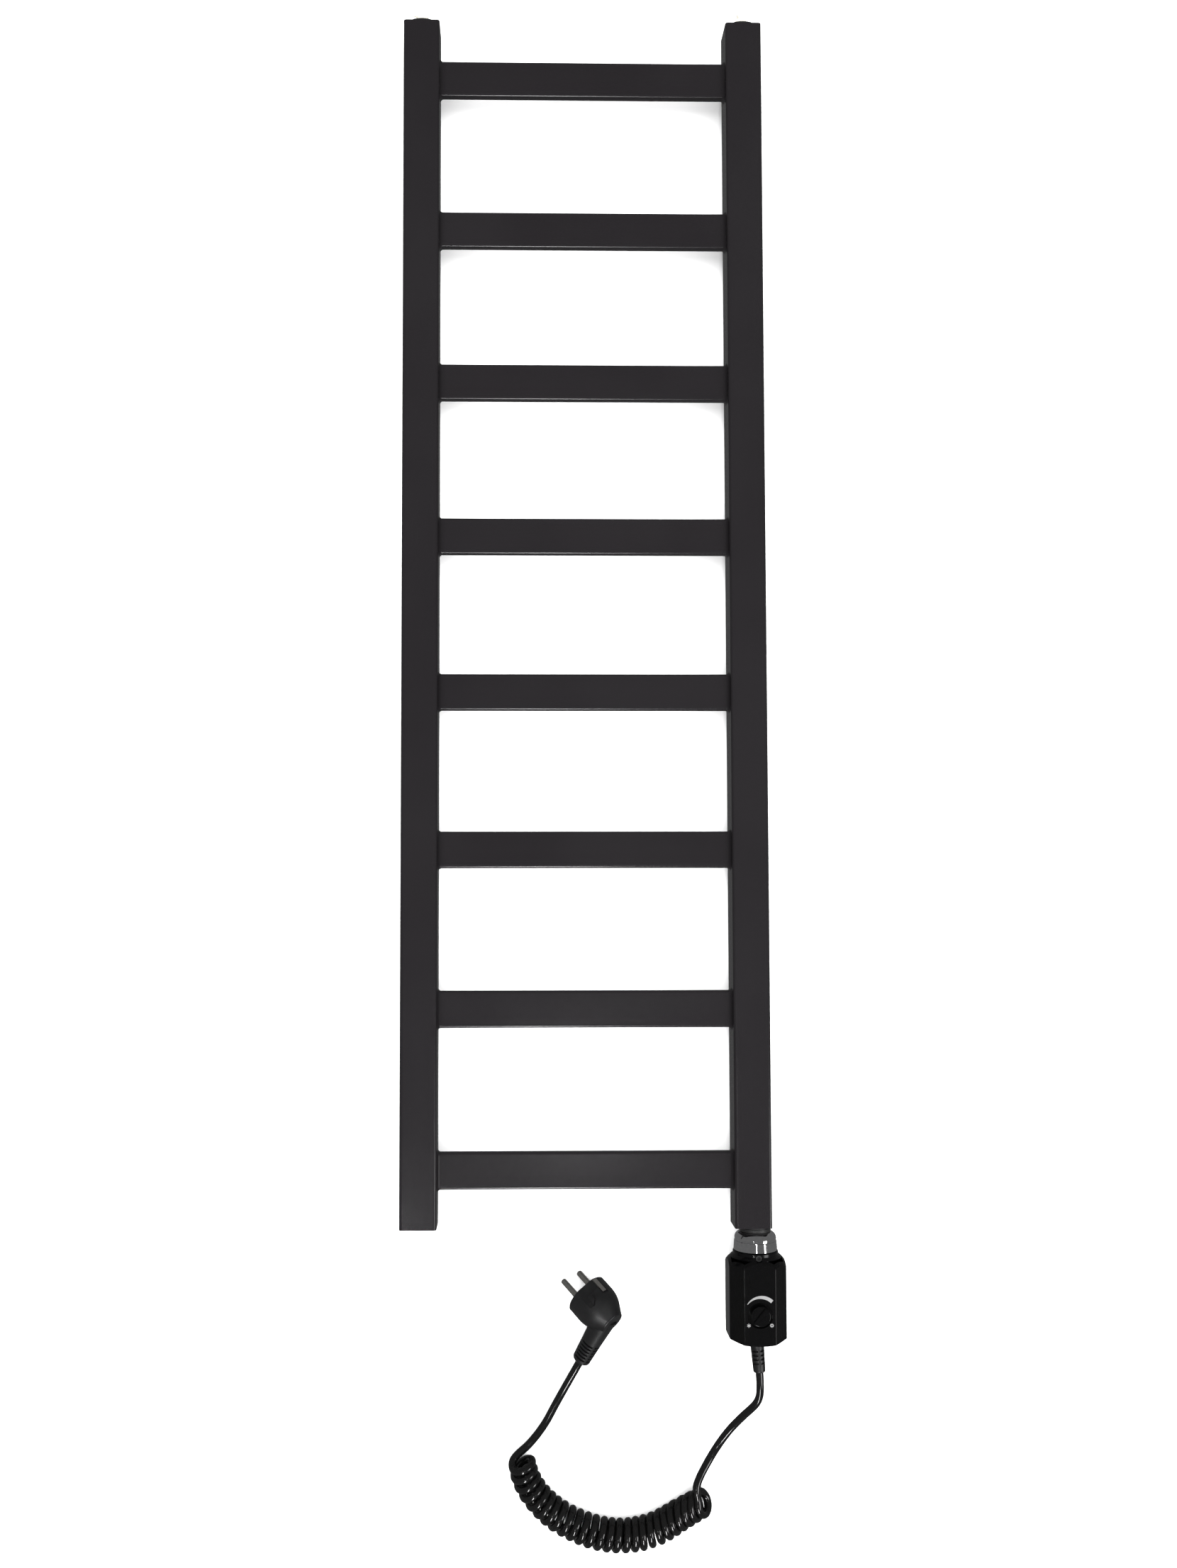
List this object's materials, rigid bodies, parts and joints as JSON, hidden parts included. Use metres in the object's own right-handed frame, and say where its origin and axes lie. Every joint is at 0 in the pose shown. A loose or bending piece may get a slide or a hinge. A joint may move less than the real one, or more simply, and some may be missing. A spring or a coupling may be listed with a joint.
{
  "type": "towel warmer rack",
  "caption": "Ladder towel warmer of flat rungs between square posts, with an electric heating element, a thermostat head below one post and a curly mains cord ending in an angled plug",
  "frame": {"origin": "centre of the four wall fixing holes, on the wall plane", "axes": "+X to the right seen from the front, +Y up the ladder, +Z out of the wall"},
  "size_m": [0.3112, 1.2826, 0.0627],
  "materials": {
    "powder_coat": "satin anthracite-black powder coat",
    "black_metal": "black coated metal",
    "zinc_steel": "zinc-plated steel",
    "stainless": "plain stainless steel",
    "nickel": "bright nickel plate",
    "chrome": "mirror chrome",
    "brass": "turned brass",
    "seal_rubber": "black rubber",
    "gloss_black": "gloss black moulded plastic",
    "matte_black": "semi-matte black moulded plastic",
    "cord_black": "gloss black PVC sheath",
    "pale_plastic": "off-white moulded plastic",
    "white_print": "white printed ink",
    "board_green": "green solder mask",
    "relay_blue": "blue moulded plastic",
    "terminal_grey": "grey moulded plastic",
    "core_sleeves": "coloured core insulation"
  },
  "bodies": {
    "rack": {"left_post": "powder_coat", "right_post": "powder_coat", "rung_1": "powder_coat", "rung_2": "powder_coat", "rung_3": "powder_coat", "rung_4": "powder_coat", "rung_5": "powder_coat", "rung_6": "powder_coat", "rung_7": "powder_coat", "rung_8": "powder_coat", "weld_beads_left": "powder_coat", "weld_beads_right": "powder_coat", "top_caps": "powder_coat", "bottom_cap": "powder_coat", "element_bush": "powder_coat", "threaded_inserts": "zinc_steel", "wall_spacers": "black_metal", "vent_plugs": "black_metal", "vent_seals": "seal_rubber", "element_gasket": "seal_rubber", "element_cover": "chrome", "element_adaptor": "brass", "heating_rod": "stainless", "sensor_pocket": "stainless", "head_collar": "gloss_black", "collar_set_screw": "black_metal", "head_front_shell": "gloss_black", "head_rear_shell": "gloss_black", "housing_screws": "zinc_steel", "potentiometer_body": "stainless", "control_board": "board_green", "power_relay": "relay_blue", "terminal_block": "terminal_grey", "mains_cores": "core_sleeves", "cord_clamp": "matte_black", "dial_marks": "white_print", "cord_strain_relief": "matte_black", "cord_lead": "cord_black", "cord_curl": "cord_black", "cord_tail": "cord_black", "plug_body": "matte_black", "plug_pins": "nickel", "plug_earth_clips": "nickel"},
    "thermostat_dial": {"thermostat_knob": "gloss_black", "potentiometer_spindle": "pale_plastic"},
    "vent_spout_left": {"vent_nozzle_left": "pale_plastic"},
    "vent_spout_right": {"vent_nozzle_right": "pale_plastic"},
    "bleed_screw_left": {"vent_screw_left": "nickel"},
    "bleed_screw_right": {"vent_screw_right": "nickel"}
  },
  "joints": [
    {"name": "thermostat_turn", "type": "hinge", "parent": "rack", "child": "thermostat_dial", "pos_m": [0.1382, -0.5665, 0.0575], "axis": [0, 0, -1], "range_deg": [-180, 90]},
    {"name": "spout_left_swivel", "type": "hinge", "parent": "rack", "child": "vent_spout_left", "pos_m": [-0.135, 0.509, 0.035], "axis": [0, 1, 0], "continuous": true},
    {"name": "spout_right_swivel", "type": "hinge", "parent": "rack", "child": "vent_spout_right", "pos_m": [0.135, 0.509, 0.035], "axis": [0, 1, 0], "continuous": true},
    {"name": "bleed_screw_left_turn", "type": "hinge", "parent": "rack", "child": "bleed_screw_left", "pos_m": [-0.135, 0.51, 0.035], "axis": [0, 1, 0], "range_deg": [0, 360]},
    {"name": "bleed_screw_right_turn", "type": "hinge", "parent": "rack", "child": "bleed_screw_right", "pos_m": [0.135, 0.51, 0.035], "axis": [0, 1, 0], "range_deg": [0, 360]}
  ]
}
